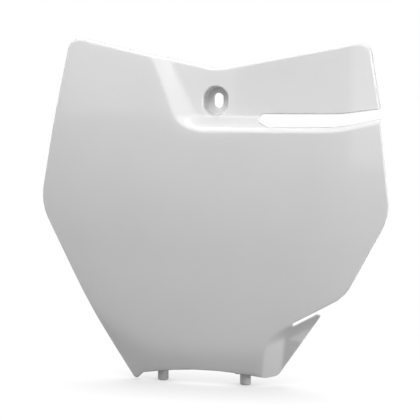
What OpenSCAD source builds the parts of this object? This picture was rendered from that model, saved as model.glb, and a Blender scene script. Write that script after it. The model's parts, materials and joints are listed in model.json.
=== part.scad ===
// Front number board of a motocross bike: one injection-moulded shell.
// The board looks towards -Y, its width runs along X and its height along Z.
// The origin is the middle of the screw slot, on the seat of the screw's head.

/* [Board outline] */
// Half of the board's width where it is widest
wide_half = 124.2; // [116:0.2:130]
// Drop from the screw to the widest corners
wide_drop = 75; // [66:1:84]
// Rounding of the widest corners
wide_r = 36; // [20:1:50]
// Half of the width at the top corners
ear_half = 105.2; // [99:0.2:110]
// Height of the top corners above the screw
ear_rise = 44; // [40:0.5:50]
// Rounding of the top corners
ear_r = 9.5; // [6:0.5:14]
// Height of the notch in the top edge above the screw
notch_rise = 22.2; // [19:0.2:26]
// Rounding of the notch
notch_r = 32; // [15:1:45]
// Half of the width at the lower corners
foot_half = 51; // [47:0.2:53]
// Drop from the screw to the lower left corner
foot_drop = 197; // [192:0.5:200]
// Drop from the screw to the ends of the arched lower edge
arch_drop = 191; // [188:0.5:192]
// Radius of the arched lower edge
arch_r = 236; // [200:1:300]
// How far the long sides bulge outwards
side_bulge = 1.4; // [0.4:0.1:3]

/* [Surface] */
// Thickness of the moulded wall
wall = 2.6; // [2:0.1:3.2]
// Radius of the board's even curve from side to side
bow_r = 900; // [600:10:2000]
// Distance from the middle to the soft crease down each side
crease_x = 86; // [78:1:96]
// Extra turn backwards outside the side creases, in degrees
crease_turn = 4.5; // [0:0.5:10]
// Backwards lean of the board, in degrees
lean = 6; // [0:0.5:10]
// Drop from the screw to the line where the lower edge tucks under
tuck_drop = 174; // [170:1:180]
// Turn of the tucked lower edge, in degrees
tuck_turn = 18; // [0:1:25]
// Distance from the middle where the tuck starts to climb the sides
tuck_half = 40; // [30:1:50]
// Climb of the tuck for each millimetre sideways
foot_tuck = 0.55; // [0:0.05:0.8]

/* [Edges] */
// Radius of the heavy rolled edge round the ears and the wing
roll_r = 2.2; // [1.4:0.1:2.6]
// Depth of the rolled edge, front to back
roll_depth = 6; // [4:0.1:9]
// Radius of the plain edges
edge_r = 0.9; // [0.4:0.1:1.2]

/* [Screw recess] */
// Depth of the recess behind the board's face
recess_depth = 13; // [9:0.5:16]
// Width of the sloping wall below the recess
recess_run = 8.4; // [7:0.2:10]
// Width of the sloping wall at the foot of the recess's steep side
recess_side_run = 12.2; // [11:0.2:13]
// Narrowing of that wall for each millimetre upwards
recess_taper = 0.08; // [0:0.01:0.1]
// Sideways place of the recess's inner corner
recess_x = -22; // [-26:0.5:-18]
// Drop from the screw to the recess's inner corner
recess_drop = 20; // [18.5:0.5:23]
// Direction of the recess's steep side, in degrees
recess_steep = 113.5; // [108:0.5:118]
// Direction of the recess's long lower side, in degrees
recess_level = 1.1; // [0:0.1:2]
// Rounding of the recess's corner, in wall widths
recess_round = 1.35; // [1.25:0.05:1.6]

/* [Wing slot] */
// Sideways place of the slot's closed end
slot_x = 31.2; // [28:0.2:38]
// Height of the slot at its closed end
slot_h = 8.5; // [8:0.1:9.5]
// Width of the sloping lip left below the slot
lip_w = 2.3; // [1.6:0.1:3]
// Sideways place where the board's top edge turns up towards the side
kick_x = 87; // [80:1:94]
// Rise of the board's top edge at the side
kick_rise = 5.8; // [4:0.2:8]
// Rise of the wing's lower edge at the side
wing_rise = 3.4; // [2:0.2:4]

/* [Lower fin] */
// Sideways place of the fin fold's upper corner
fin_x = 43.5; // [41:0.5:47]
// Drop from the screw to the fin fold's upper corner
fin_drop = 160.5; // [157:0.5:164]
// Direction of the fold between the board and its fin, in degrees
fin_crease = -98; // [-102:0.5:-92]
// Direction of the fin's upper side, in degrees
fin_angle = 28; // [26:0.5:30]
// Depth of the valley between the board and its fin
fin_depth = 7; // [3:0.5:9]
// Width of the wall between the board and the valley
fin_run = 12; // [9:0.5:14]
// Width of the fin's wall below the slit
fin_lip_run = 7; // [4:0.5:10]
// How far the fin's outer edge comes forward again
fin_flare = 3; // [0:0.5:6]
// Width of the slit above the fin
slit_w = 2; // [1.6:0.1:2.6]
// Sideways place of the slit's closed end
slit_x = 61; // [58:0.5:66]
// Sideways place of the fin's lower corner
fin_foot_x = 50; // [48:0.5:53]
// Direction of the board's lower right side, in degrees
jaw_angle = 243; // [238:0.5:248]
// Sideways place of the fin's tip
fin_tip_x = 82.6; // [80:0.2:85]
// Rounding of the fin's tip
fin_tip_r = 1.6; // [1:0.1:2.5]

/* [Screw cup] */
// Width of the cup at its mouth
cup_w = 17.9; // [16:0.1:19]
// Width of the cup at its seat
cup_seat_w = 16.4; // [15:0.1:17]
// Height of the cup beyond its width
cup_extra = 2.8; // [0:0.1:4]
// Bevel round the cup's mouth
cup_bevel = 1.2; // [0.6:0.1:1.6]
// Depth from the recess's floor to the seat
cup_depth = 12; // [8:0.5:14]
// Width of the screw slot
screw_w = 6.5; // [6:0.1:8.5]
// Height of the screw slot
screw_h = 10.5; // [9.5:0.1:11.5]
// Thickness of the ribs behind the cup
rib_t = 2; // [1.6:0.1:2.6]
// Reach of the ribs beside the cup
rib_reach = 15; // [12:0.5:18]

/* [Pegs] */
// Distance between the two locating pegs
peg_spacing = 59; // [54:0.5:62]
// Sideways place of the middle between the pegs
peg_x = -2.2; // [-4:0.2:4]
// Diameter of a peg
peg_d = 7.8; // [6:0.1:8.4]
// Drop from the screw to the end of a peg
peg_drop = 196.2; // [193:0.2:200]
// Bevel round a peg's end
peg_bevel = 0.6; // [0.2:0.1:1]
// Width of the shelf behind the board that carries a peg
shelf_w = 13; // [12:0.1:16]
// Height of the gussets above the shelf
gusset_h = 20; // [12:0.5:26]
// Gap between the board's back and a peg
peg_gap = 0.5; // [0.2:0.1:1]

/* [Hidden] */

// Radii of the small corners in the board's outline
foot_r = 2.6;
fin_foot_r = 5;
corner_r = 0.8;
jaw_r = 26;
long_r = 800;
kick_r = 80;
// Height and width of the foot's step up to the arched edge, and height of the fin's foot
foot_step = 6;
fin_step = 1.6;
// How far the sides lie outside the top corners at the slot's height
side_out = 9;
// Rounding of a slot's end, as a share of the slot's width
end_round = 0.48;
// Half width of the rounding along a fold, as a share of the fold's width
fold_soft = 0.1;
fin_soft = 0.18;
// Turn between the points of a fold's corner and of an edge's rounding, in degrees
turn_step = 15;
rim_step = 30;
// Widths over which the soft bends are spread
crease_soft = 24;
tuck_soft = 8;
kick_soft = 5;
// Curve of the board from top to bottom
rise_r = 4500;
// Inner fillet where an edge meets the back, and bevel of an edge's rear corner
root_fillet = 1.2;
rear_bevel = 0.4;

// Widening of the cup for each millimetre towards its mouth
cup_slope = (cup_w - cup_seat_w) / cup_depth;

// Height of a peg's shelf above the lower edge, and the steps in which it follows the wall
shelf_up = 2.6;
shelf_steps = 4;
$fn = 48;

// Numbers of mesh steps along the stretches between the marked corners
n_ear = 12;
n_rise = 8;
n_side = 16;
n_low = 5;
n_mid = 7;
n_right = 12;
n_slit = 6;
n_join = 4;
n_fin = n_join + n_slit;
// Length that one degree of bend counts for when mesh steps are spread along an edge
bend_weight = 0.3;
inner_weight = 0.08;
relax_times = 12;

function dir(a) = [cos(a), sin(a)];
function left_of(v) = [-v[1], v[0]];
function unit(v) = v / norm(v);
function cross2(a, b) = a[0] * b[1] - a[1] * b[0];
function mix(a, b, t) = a + (b - a) * t;
function flip(list) = [for (i = [len(list) - 1:-1:0]) list[i]];
function cut(list, a, b) = [for (i = [a:b]) list[i % len(list)]];
// Where the line through p along d meets the line through q along e
function meet(p, d, q, e) = p + d * cross2(q - p, e) / cross2(d, e);
// A bend that starts softly: flat below zero, slope one above
function soft(t, w) = (t + sqrt(t * t + w * w)) / 2;

// A recess is a wedge in the board's plane: its corner, the directions of its two sides, the
// widths of the sloping walls along them, the rounding of its corner, its depth and the narrowing
// of the first wall
side_x = ear_half + side_out;
screw_recess = [[recess_x, -recess_drop], recess_steep, recess_level, recess_side_run, recess_run,
    recess_round, recess_depth, recess_taper];
fin_recess = [[fin_x, -fin_drop], fin_crease, fin_angle, fin_run, fin_lip_run, 1, fin_depth, 0];

function normal_a(r) = let(a = dir(r[1]), b = dir(r[2])) left_of(a) * sign(cross2(a, b));
function normal_b(r) = let(a = dir(r[1]), b = dir(r[2])) left_of(b) * sign(cross2(b, a));
// The folds of the back lie further out by this much, which keeps the wall's thickness
function back_shift(r, run) = wall * tan(atan(r[6] / run) / 2);
kick_slope = kick_rise / (side_x - kick_x);
function kick(x) = kick_slope * soft(x - kick_x, kick_soft);
// The point at x on the line that lies t across the recess's lower wall
function on_level(x, t, back = 0) = [x, -recess_drop + (x - recess_x) * tan(recess_level)
    + t * recess_run - back * back_shift(screw_recess, recess_run)];
function on_board(x, t, back = 0) = on_level(x, t, back) + [0, kick(x)];
// Distances from a recess's two sides, in wall widths
function inside(r, p, back, lift) = [
    (normal_a(r) * (p - r[0]) + back * back_shift(r, r[3])) / (r[3] - r[7] * (dir(r[1]) * (p - r[0]))),
    (normal_b(r) * (p - r[0]) + back * back_shift(r, r[4]) - lift) / r[4]];
// Place across the sloping wall: 0 at the face, 1 at the recess's floor
function across(ab, k) = min(ab) > k ? min(ab)
    : k - norm([max(k - ab[0], 0), max(k - ab[1], 0)]);
function fold(t, w) = soft(t, w) - soft(t - 1, w);
// Across the line that lies t across a recess's first wall
function wall_normal(r, t) = normal_a(r) + t * r[7] * dir(r[1]);
// The point whose distances from a recess's sides are a and b, in wall widths
function from_sides(r, a, b, back) =
    let(
        m = wall_normal(r, a), n = normal_b(r),
        da = a * r[3] - back * back_shift(r, r[3]),
        db = b * r[4] - back * back_shift(r, r[4]))
    r[0] + (da * left_of(n) - db * left_of(m)) / cross2(n, m);
// The rounded corner of the line that lies t across the wall, from side a to side b
function turn_of(r, t, back, from, to) = [for (q = [from:turn_step:to])
    from_sides(r, r[5] - (r[5] - t) * cos(q), r[5] - (r[5] - t) * sin(q), back)];

// Depth of the plain face
function skin(x, z) =
    let(ax = abs(x), edge = -tuck_drop + foot_tuck * soft(ax - tuck_half, tuck_soft))
    -cup_depth - recess_depth + x * x / (2 * bow_r) + z * z / (2 * rise_r) + tan(lean) * z
    + tan(crease_turn) * soft(ax - crease_x, crease_soft)
    + tan(tuck_turn) * soft(edge - z, tuck_soft);
// Depth of the moulded face, or of the back of the wall
function face(p, back) =
    let(
        upper = across(inside(screw_recess, p, back, kick(p[0])), recess_round),
        lower = across(inside(fin_recess, p, back, 0), 1))
    skin(p[0], p[1]) + back * wall + recess_depth * fold(upper, fold_soft)
    + fin_depth * fold(lower, fin_soft) - fin_flare * soft(lower - 1, fin_soft);

// Lines across the screw recess's wall: those that run on below the slot, then the rest
lip = lip_w / recess_run;
lip_rows = [-fold_soft, 0, fold_soft, lip];
wing_line = (lip_w + slot_h) / recess_run;
wall_rows = [lip, 0.6, 1 - fold_soft, 1 + fold_soft, wing_line];

// Marked places of the outline
top_left = [-ear_half, ear_rise];
top_right = [ear_half, ear_rise];
notch = [0, notch_rise];
wide_left = [-wide_half, -wide_drop];
wide_right = [wide_half, -wide_drop];
foot_left = [-foot_half, -foot_drop];
fin_foot = [fin_foot_x, -arch_drop + fin_step];
side_slope = (wide_half - ear_half) / (wide_drop + ear_rise);
function side_at(z) = [ear_half + side_slope * (ear_rise - z) + side_bulge, z];
slit_end = meet(fin_recess[0], dir(fin_angle), [slit_x, 0], [0, 1]);
slit_half = [0, slit_w / 2 / cos(fin_angle)];
slit_ahead = dir(fin_angle) * slit_w / 2;
fin_tip = meet(slit_end - slit_half, dir(fin_angle + 1), [fin_tip_x, 0], [0, 1]);
jaw = meet(slit_end + slit_half, dir(fin_angle + 1), wide_right, dir(jaw_angle));
function board_side(t, back = 0) = side_at(on_board(side_x, t, back)[1]);
slot_low = on_level(slot_x, lip);
slot_high = slot_low + [0, slot_h];
wing_low = side_at(on_level(side_x, wing_line)[1] + wing_rise);
arch_half = foot_half - foot_step;
arch_top = -arch_drop + arch_half * arch_half / arch_r;

// A corner of the outline: place, rounding, mesh steps up to the next marked corner (0 where it
// is not marked), heaviness of the following edge at its start and end (1 is rolled, 0 is
// plain), and the direction in which an inset moves it where that is not the edge's own
function corner(p, r, n, w0 = 0, w1 = 0, slide = undef) = [p, r, n, w0, w1, slide];
function top_corner(t, back, n) = let(along = -left_of(wall_normal(screw_recess, t)))
    corner(meet(from_sides(screw_recess, t, 0, back), along, notch, top_left - notch), 0, n, 1, 1,
        along);
function side_corner(t, back) = corner(
    board_side(t, back), 0, 1, 0, 0, dir(recess_level + atan(kick_slope)));

// The outline, anticlockwise from where the recess's fold meets the top edge
function outline(back) = concat(
    [top_corner(-fold_soft, back, n_ear)],
    [corner(top_left, ear_r, n_rise, 1, 0.5)],
    [corner([-side_at(-recess_drop)[0], -recess_drop], long_r, n_side, 0.5, 0)],
    [corner(wide_left, wide_r, 0)],
    [corner(mix(wide_left, foot_left, 0.5) - [side_bulge, 0], long_r, 0)],
    [corner(mix(wide_left, foot_left, 0.75) - [side_bulge / 2, 0], 0, n_low)],
    [corner(foot_left, foot_r, n_ear)],
    [corner([-arch_half, -arch_drop], foot_r, 0)],
    [corner([0, arch_top], arch_r * 0.9, n_mid)],
    [corner([arch_half - foot_r, -arch_drop + fin_step / 2], 0, n_fin)],
    [corner(fin_foot, fin_foot_r, n_low)],
    [corner(fin_tip, fin_tip_r, n_slit)],
    [corner(slit_end - slit_half + slit_ahead, slit_w * end_round, 0)],
    [corner(slit_end, 0, n_right - n_join)],
    [corner(slit_end + slit_half + slit_ahead, slit_w * end_round, 0)],
    [corner(jaw, jaw_r, n_side)],
    [corner(wide_right, wide_r, 0)],
    [for (t = [-fold_soft, 0, fold_soft]) side_corner(t, back)],
    [corner(board_side(lip), corner_r, n_right)],
    [corner(on_level(kick_x, lip), kick_r, 0)],
    [corner(slot_low, slot_h * end_round, len(wall_rows) - 1)],
    [corner(slot_high, slot_h * end_round, n_right)],
    [corner(on_level(kick_x, wing_line), kick_r, 0)],
    [corner(wing_low, corner_r, n_rise, 1, 1)],
    [corner(top_right, ear_r, n_mid + n_right, 1, 1)],
    [corner(notch, notch_r, 0, 1, 1)],
    [for (t = flip(wall_rows)) top_corner(t, back, 1)],
    [for (t = [fold_soft, 0]) top_corner(t, back, 1)]);

// Rows of the rim's section, from the face round the edge to the back. Each gives the inset of
// a plain and of a rolled edge, then for each whether its depth is measured from the face (0)
// or from the back (1), and that depth.
function rim_arc(q) = [edge_r * (1 - sin(q)), roll_r * (1 - sin(q)),
    0, edge_r * (1 - cos(q)), 0, roll_r * (1 - cos(q))];
rim_rows = [
    for (q = [0:rim_step:90]) rim_arc(q),
    [0, 0, 1, -rear_bevel, 0, roll_depth - rear_bevel],
    [rear_bevel, rear_bevel, 1, 0, 0, roll_depth],
    [edge_r, wall, 1, 0, 0, roll_depth],
    [edge_r + rear_bevel, wall + root_fillet, 1, 0, 1, 0]];

// The outline's corners moved inwards by one row's inset
function moved(list, row) = [for (i = [0:len(list) - 1])
    let(
        c = list[i], before = list[(i + len(list) - 1) % len(list)],
        after = list[(i + 1) % len(list)],
        u = unit(c[0] - before[0]), v = unit(after[0] - c[0]),
        m = left_of(u), n = left_of(v),
        dm = mix(row[0], row[1], before[4]), dn = mix(row[0], row[1], c[3]),
        turn = cross2(u, v),
        step = c[5] == undef ? (m * dm + n * dn) / (1 + m * n) : c[5] * dm / (c[5] * m),
        r = c[1] == 0 ? 0 : turn > 0 ? max(c[1] - (dm + dn) / 2, 0.2) : c[1] + (dm + dn) / 2)
    [c[0] + step, r, c[2], c[3], c[4]]];
// A corner's arc as points with their edge weight, or the corner itself
function arc_at(list, i) =
    let(
        c = list[i], before = list[(i + len(list) - 1) % len(list)],
        after = list[(i + 1) % len(list)],
        u = unit(c[0] - before[0]), v = unit(after[0] - c[0]),
        turn = atan2(cross2(u, v), u * v),
        back_off = c[1] * tan(abs(turn) / 2), a = c[0] - u * back_off, w = mix(before[4], c[3], 0.5),
        n = 2 * ceil(abs(turn) / 24 + 0.5), side = sign(turn),
        o = a + left_of(u) * c[1] * side)
    c[1] == 0 || turn == 0 ? [[c[0][0], c[0][1], w]]
    : [for (k = [0:n]) let(q = turn * k / n, d = -left_of(u) * side,
        p = o + c[1] * [d[0] * cos(q) - d[1] * sin(q), d[0] * sin(q) + d[1] * cos(q)])
        [p[0], p[1], mix(before[4], c[3], k / n)]];

// Spreads n steps along a line of points, closer together where it bends
function bend_at(line, i) = i == 0 || i >= len(line) - 1 ? 0 :
    let(u = xy(line[i]) - xy(line[i - 1]), v = xy(line[i + 1]) - xy(line[i]))
    abs(atan2(cross2(u, v), u * v));
function xy(p) = [p[0], p[1]];
function lengths(line, w, i = 0, sum = 0) = i >= len(line) ? [] : concat([sum],
    lengths(line, w, i + 1, i + 1 >= len(line) ? 0 : sum + norm(xy(line[i + 1]) - xy(line[i]))
        + w * (bend_at(line, i) + bend_at(line, i + 1)) / 2));
function spread(line, n, w) =
    let(at = lengths(line, w), last = len(line) - 1, keys = [for (k = [0:2])
        [for (i = [0:last]) [at[i], line[i][k] == undef ? 0 : line[i][k]]]])
    [for (s = [0:n]) let(q = at[last] * s / n)
        s == 0 ? line[0] : s == n ? line[last] : [for (k = [0:2]) lookup(q, keys[k])]];

// One row of the rim: all mesh points round the outline, as [x, z, weight]
function marked(list) = [for (i = [0:len(list) - 1]) if (list[i][2] > 0) i];
function run_line(list, i, j) = concat(
    let(a = arc_at(list, i)) [for (k = [floor(len(a) / 2):len(a) - 1]) a[k]],
    [for (m = [i + 1:1:j - 1]) each arc_at(list, m)],
    let(b = arc_at(list, j % len(list))) [for (k = [0:floor(len(b) / 2)]) b[k]]);
function rim_line(row) =
    let(list = moved(outline(row[2]), row), marks = marked(list))
    [for (m = [0:len(marks) - 1])
        let(
            i = marks[m], j = m + 1 < len(marks) ? marks[m + 1] : len(list) + marks[0],
            points = spread(run_line(list, i, j), list[i][2], bend_weight))
        each [for (k = [0:list[i][2] - 1]) points[k]]];
function rim_point(p, row) = [p[0],
    mix(face(xy(p), row[2]) + row[3], face(xy(p), row[4]) + row[5], p[2]), p[1]];

// Counts along the rim from its first point to each marked corner
at_ear = n_ear;
at_rise = at_ear + n_rise;
at_side = at_rise + n_side;
at_foot = at_side + n_low;
at_arch = at_foot + n_ear;
at_fold = at_arch + n_mid;
at_fin = at_fold + n_fin;
at_tip = at_fin + n_low;
at_slit = at_tip + n_slit;
at_jaw = at_slit + n_right - n_join;
at_edge = at_jaw + n_side;
at_lip = at_edge + len(lip_rows) - 1;
at_slot = at_lip + n_right;
at_wing = at_slot + len(wall_rows) - 1;
at_end = at_wing + n_right;
at_top = at_end + n_rise;
at_floor = at_top + n_mid + n_right;
at_wall = at_floor + len(wall_rows) - 1;
n_rim = at_wall + len(lip_rows) - 1;

// A patch between four lines, with places across given by us and vs
function patch(low, high, left, right, us, vs) = [for (i = [0:len(us) - 1]) let(u = us[i])
    [for (j = [0:len(vs) - 1]) let(v = vs[j], n = len(us) - 1, m = len(vs) - 1)
        mix(low[i], high[i], v) + mix(left[j], right[j], u)
        - mix(mix(low[0], low[n], u), mix(high[0], high[n], u), v)]];
// Evens out the inside of a patch, its edges as they are
function relaxed(g, times) = times == 0 ? g : let(n = len(g) - 1, m = len(g[0]) - 1)
    relaxed([for (i = [0:n]) [for (j = [0:m]) i == 0 || j == 0 || i == n || j == m ? g[i][j]
        : (g[i - 1][j] + g[i + 1][j] + g[i][j - 1] + g[i][j + 1]) / 4]], times - 1);
function even(n) = [for (i = [0:n]) i / n];
function depth(grid, back) = [for (col = grid) [for (p = col) [p[0], face(xy(p), back), p[1]]]];

// The grids of the face (back 0) or of the wall's back (back 1)
function sheet(back) =
    let(
        row = rim_rows[back ? len(rim_rows) - 1 : 0],
        rim = [for (p = rim_line(row)) xy(p)],
        n_all = n_rise + n_mid + n_right,
        // the lines that follow the recess's wall, each from the top edge to the right
        steep = function(t, top) spread2(concat([top], turn_of(screw_recess, t, back, 0, 45)), n_rise),
        level = function(t, end) spread2(concat(turn_of(screw_recess, t, back, 45, 90), [end]), n_mid),
        wall_end = rim[at_slot], wing_end = rim[at_wing],
        lip_lines = [for (k = [0:len(lip_rows) - 1])
            let(t = lip_rows[k], last = k == len(lip_rows) - 1,
                join = last ? wall_end : on_board(slot_x, t, back),
                side = rim[at_edge + k])
            concat(steep(t, rim[(n_rim - k) % n_rim]), tail(level(t, join)),
                last ? tail(flip(cut(rim, at_lip, at_slot)))
                : [for (i = [1:n_right]) i == n_right ? side
                    : on_board(mix(slot_x, side[0], i / n_right), t, back)])],
        wing_steep = steep(wing_line, rim[at_floor]),
        wing_level = level(wing_line, wing_end),
        corner_a = lip_lines[0][n_rise],
        corner_b = lip_lines[0][n_rise + n_mid],
        board_top = cut(lip_lines[0], n_rise + n_mid, n_all),
        // the crease and the upper side of the fin
        hub = turn_of(fin_recess, 0, back, 45, 45)[0],
        crease = spread2(concat(flip(turn_of(fin_recess, 0, back, 0, 45)), [rim[at_fold]]), n_low),
        brow = spread2(concat(turn_of(fin_recess, 0, back, 45, 90), [rim[at_slit]]), n_join),
        knot = mix(corner_a, rim[at_arch], 0.86),
        spine = spread2([corner_a, knot], n_side),
        spine_low = spread2([knot, rim[at_arch]], n_low),
        keel = spread2([corner_b, hub], n_side),
        belt_left = spread2([rim[at_side], knot], n_ear),
        belt_mid = spread2([knot, hub], n_mid),
        belt_right = concat(brow, tail(cut(rim, at_slit, at_jaw))),
        brow_left = spread2([rim[at_rise], corner_a], n_ear),
        e = even(n_ear), low = even(n_low), side = even(n_side), mid = even(n_mid),
        right = even(n_right), rise = even(n_rise),
        across_wall = [for (t = wall_rows) (t - lip) / (wing_line - lip)],
        long = n_rise + n_mid)
    [
        patch(cut(rim, at_foot, at_arch), belt_left, flip(cut(rim, at_side, at_foot)),
            flip(spine_low), e, low),
        relaxed(patch(cut(rim, at_arch, at_fold), belt_mid, flip(spine_low), flip(crease), mid, low),
            relax_times),
        patch(cut(rim, at_fold, at_fin), concat(brow, tail(flip(cut(rim, at_tip, at_slit)))),
            flip(crease), cut(rim, at_fin, at_tip), even(n_fin), low),
        patch(belt_left, brow_left, flip(cut(rim, at_rise, at_side)), flip(spine), e, side),
        patch(belt_mid, cut(lip_lines[0], n_rise, long), flip(spine), flip(keel), mid, side),
        relaxed(patch(belt_right, board_top, flip(keel), cut(rim, at_jaw, at_edge), right, side),
            relax_times),
        patch(brow_left, flip(cut(rim, 0, at_ear)), flip(cut(rim, at_ear, at_rise)),
            flip(cut(lip_lines[0], 0, n_rise)), e, rise),
        [for (i = [0:n_all]) [for (line = lip_lines) line[i]]],
        patch(cut(lip_lines[3], 0, long), concat(wing_steep, tail(wing_level)),
            flip(cut(rim, at_floor, at_wall)), cut(rim, at_slot, at_wing), even(long), across_wall),
        patch(concat(wing_level, tail(cut(rim, at_wing, at_end))),
            flip(cut(rim, at_top, at_floor)), flip(wing_steep), cut(rim, at_end, at_top),
            even(n_mid + n_right), rise)
    ];
function tail(list) = [for (i = [1:1:len(list) - 1]) list[i]];
function spread2(line, n) = [for (p = spread(line, n, inner_weight)) xy(p)];

// Joins grids of points into one closed surface
function grid_faces(grid, first, turned) = let(m = len(grid[0])) [
    for (i = [0:len(grid) - 2]) for (j = [0:m - 2])
        let(a = first + i * m + j, b = a + m, c = b + 1, d = a + 1)
        each turned ? [[a, b, c], [a, c, d]] : [[a, c, b], [a, d, c]]];
function starts(grids, i = 0, sum = 0) = i >= len(grids) ? [] :
    concat([sum], starts(grids, i + 1, sum + len(grids[i]) * len(grids[i][0])));

module shell() {
    front = [for (g = sheet(0)) depth(g, 0)];
    rear = [for (g = sheet(1)) depth(g, 1)];
    rim = [for (row = rim_rows) let(line = rim_line(row))
        [for (p = concat(line, [line[0]])) rim_point(p, row)]];
    grids = concat(front, rear, [rim]);
    first = starts(grids);
    polyhedron(
        points = [for (g = grids) each [for (col = g) each col]],
        faces = [for (k = [0:len(grids) - 1])
            each grid_faces(grids[k], first[k], k >= len(front) && k < len(front) + len(rear))]);
}

// A frustum with a stadium section along Y, from width a at y0 to width b at y1
module stadium(a, b, y0, y1, extra) {
    for (z = [-extra / 2, extra / 2])
        translate([0, y0, z]) rotate([-90, 0, 0]) cylinder(d1 = a, d2 = b, h = y1 - y0);
    linear_extrude(extra, center = true)
        polygon([[-a / 2, y0], [a / 2, y0], [b / 2, y1], [-b / 2, y1]]);
}

// Places something on the recess's floor, square to it, at the cup's mouth
module at_floor() {
    translate([0, -cup_depth, 0]) rotate([-lean, 0, 0]) children();
}

// Middle of the recess floor's wall at height z
function floor_y(z) = -cup_depth + tan(lean) * z + wall / 2;

// The cup's wall and the ribs that stiffen it, behind the recess's floor
module cup_wall() {
    front = cup_depth + wall;
    difference() {
        stadium(cup_w + (2 + cup_slope) * wall, cup_seat_w + (2 - cup_slope) * wall, -front, wall,
            cup_extra);
        at_floor() translate([-cup_w, wall / 2 - 2 * front, -cup_w])
            cube([2 * cup_w, 2 * front, 2 * cup_w]);
    }
    linear_extrude(rib_t, center = true) polygon([
        [-rib_reach, floor_y(0)], [rib_reach, floor_y(0)], [rib_reach, floor_y(0) + wall],
        [cup_w / 2, -wall], [-cup_w / 2, -wall], [-rib_reach, floor_y(0) + wall]]);
    rib_top = (cup_w + cup_extra) / 2 + wall;
    rotate([90, 0, 90]) linear_extrude(rib_t, center = true) polygon([
        [floor_y(0), 0], [floor_y(rib_top + wall), rib_top + wall],
        [floor_y(rib_top + wall) + wall, rib_top + wall], [-wall, cup_w / 2], [-wall, 0]]);
}

// The hollow of the cup and the screw slot through its seat
module cup_hollow() {
    stadium(cup_w + cup_slope * wall, cup_seat_w, -cup_depth - wall, 0, cup_extra);
    stadium(screw_w, screw_w, -1, wall + 1, screw_h - screw_w);
    at_floor() stadium(cup_w + 2 * (cup_bevel + wall), cup_w, -wall, cup_bevel, cup_extra);
}

// A locating peg on its shelf behind the lower edge, with a gusset at each side
module peg(x) {
    foot = -arch_drop + shelf_up;
    y = skin(x, -arch_drop) + wall + peg_gap + peg_d / 2;
    rear = y + peg_d / 2 + peg_gap;
    seat = [for (k = [0:shelf_steps]) let(z = mix(foot, foot + gusset_h, k / shelf_steps))
        [skin(x, z) + wall / 2, z]];
    translate([x, y, -peg_drop]) {
        cylinder(d1 = peg_d - 2 * peg_bevel, d2 = peg_d, h = peg_bevel);
        translate([0, 0, peg_bevel]) cylinder(d = peg_d, h = peg_drop + foot + 2 * wall - peg_bevel);
    }
    translate([x, 0, 0]) rotate([90, 0, 90]) {
        linear_extrude(shelf_w, center = true) polygon([
            seat[0] + [0, wall / 2], seat[0] + [wall / 2, 0], [rear, foot], [rear, foot + wall],
            [skin(x, foot + wall) + wall / 2, foot + wall]]);
        for (side = [-1, 1])
            translate([0, 0, side * (shelf_w - rib_t) / 2]) linear_extrude(rib_t, center = true)
                polygon(concat([[rear, foot + wall / 2], [rear, foot + wall]], flip(tail(seat)),
                    [seat[0] + [0, wall / 2]]));
    }
}

module number_board() {
    color("whitesmoke") difference() {
        union() {
            shell();
            cup_wall();
            for (side = [-1, 1]) peg(peg_x + side * peg_spacing / 2);
        }
        cup_hollow();
    }
}

number_board();
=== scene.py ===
"""Front number board of a motocross bike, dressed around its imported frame.

The board is one glossy white moulding. Its plan is drawn as a closed outline of rounded
corners, a Geometry Nodes tree presses that plan into depth, and the screw cup and the
locating pegs are joined to it as solids. Sizes are in millimetres and match the part's source.
"""

from __future__ import annotations

import json
import logging
import math
from collections.abc import Iterable, Sequence
from dataclasses import dataclass, field
from enum import Enum

import bmesh
import bpy
import numpy as np
from mathutils import Matrix, Vector
from mathutils.geometry import delaunay_2d_cdt

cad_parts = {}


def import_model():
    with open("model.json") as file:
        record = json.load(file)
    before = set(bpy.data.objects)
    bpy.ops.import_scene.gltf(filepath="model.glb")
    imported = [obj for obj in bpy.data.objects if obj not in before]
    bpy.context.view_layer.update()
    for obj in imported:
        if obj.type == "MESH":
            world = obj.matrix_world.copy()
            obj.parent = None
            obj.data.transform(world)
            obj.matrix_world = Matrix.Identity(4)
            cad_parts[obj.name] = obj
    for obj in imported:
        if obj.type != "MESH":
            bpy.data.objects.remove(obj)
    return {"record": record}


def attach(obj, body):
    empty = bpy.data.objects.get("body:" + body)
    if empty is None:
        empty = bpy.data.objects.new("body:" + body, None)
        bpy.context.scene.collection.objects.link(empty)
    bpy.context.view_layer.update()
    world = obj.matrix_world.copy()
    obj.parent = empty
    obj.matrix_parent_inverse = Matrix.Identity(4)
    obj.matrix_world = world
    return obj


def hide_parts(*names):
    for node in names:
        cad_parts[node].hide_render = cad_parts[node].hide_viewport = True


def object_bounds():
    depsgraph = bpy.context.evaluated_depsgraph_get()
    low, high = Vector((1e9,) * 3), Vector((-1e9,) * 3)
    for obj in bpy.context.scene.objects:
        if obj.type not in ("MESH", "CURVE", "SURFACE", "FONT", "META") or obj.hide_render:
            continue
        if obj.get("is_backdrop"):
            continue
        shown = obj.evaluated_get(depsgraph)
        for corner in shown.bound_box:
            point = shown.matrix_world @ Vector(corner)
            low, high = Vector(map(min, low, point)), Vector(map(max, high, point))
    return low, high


LOG = logging.getLogger("number_board")

MM = 0.001
NODE = "number_board"
PIECE = "moulded_board"
SHARE = "share_of_back"
OFFSET = "offset"
ROLLED = 1.0
HALF_ROLLED = 0.5
FLOOR_GAP_M = 0.0002

Amount = float | np.ndarray


class Sheet(Enum):
    """The two faces of the moulded wall."""

    FACE = 0.0
    BACK = 1.0


class Cut(Enum):
    """What a second solid does to the first."""

    JOIN = "UNION"
    TAKE = "DIFFERENCE"


# Plane geometry


def heading(degrees: float) -> np.ndarray:
    """The unit direction at an angle from +X."""
    return np.array([math.cos(math.radians(degrees)), math.sin(math.radians(degrees))])


def left_of(v: np.ndarray) -> np.ndarray:
    """A direction turned a quarter turn to the left."""
    return np.array([-v[1], v[0]])


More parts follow.
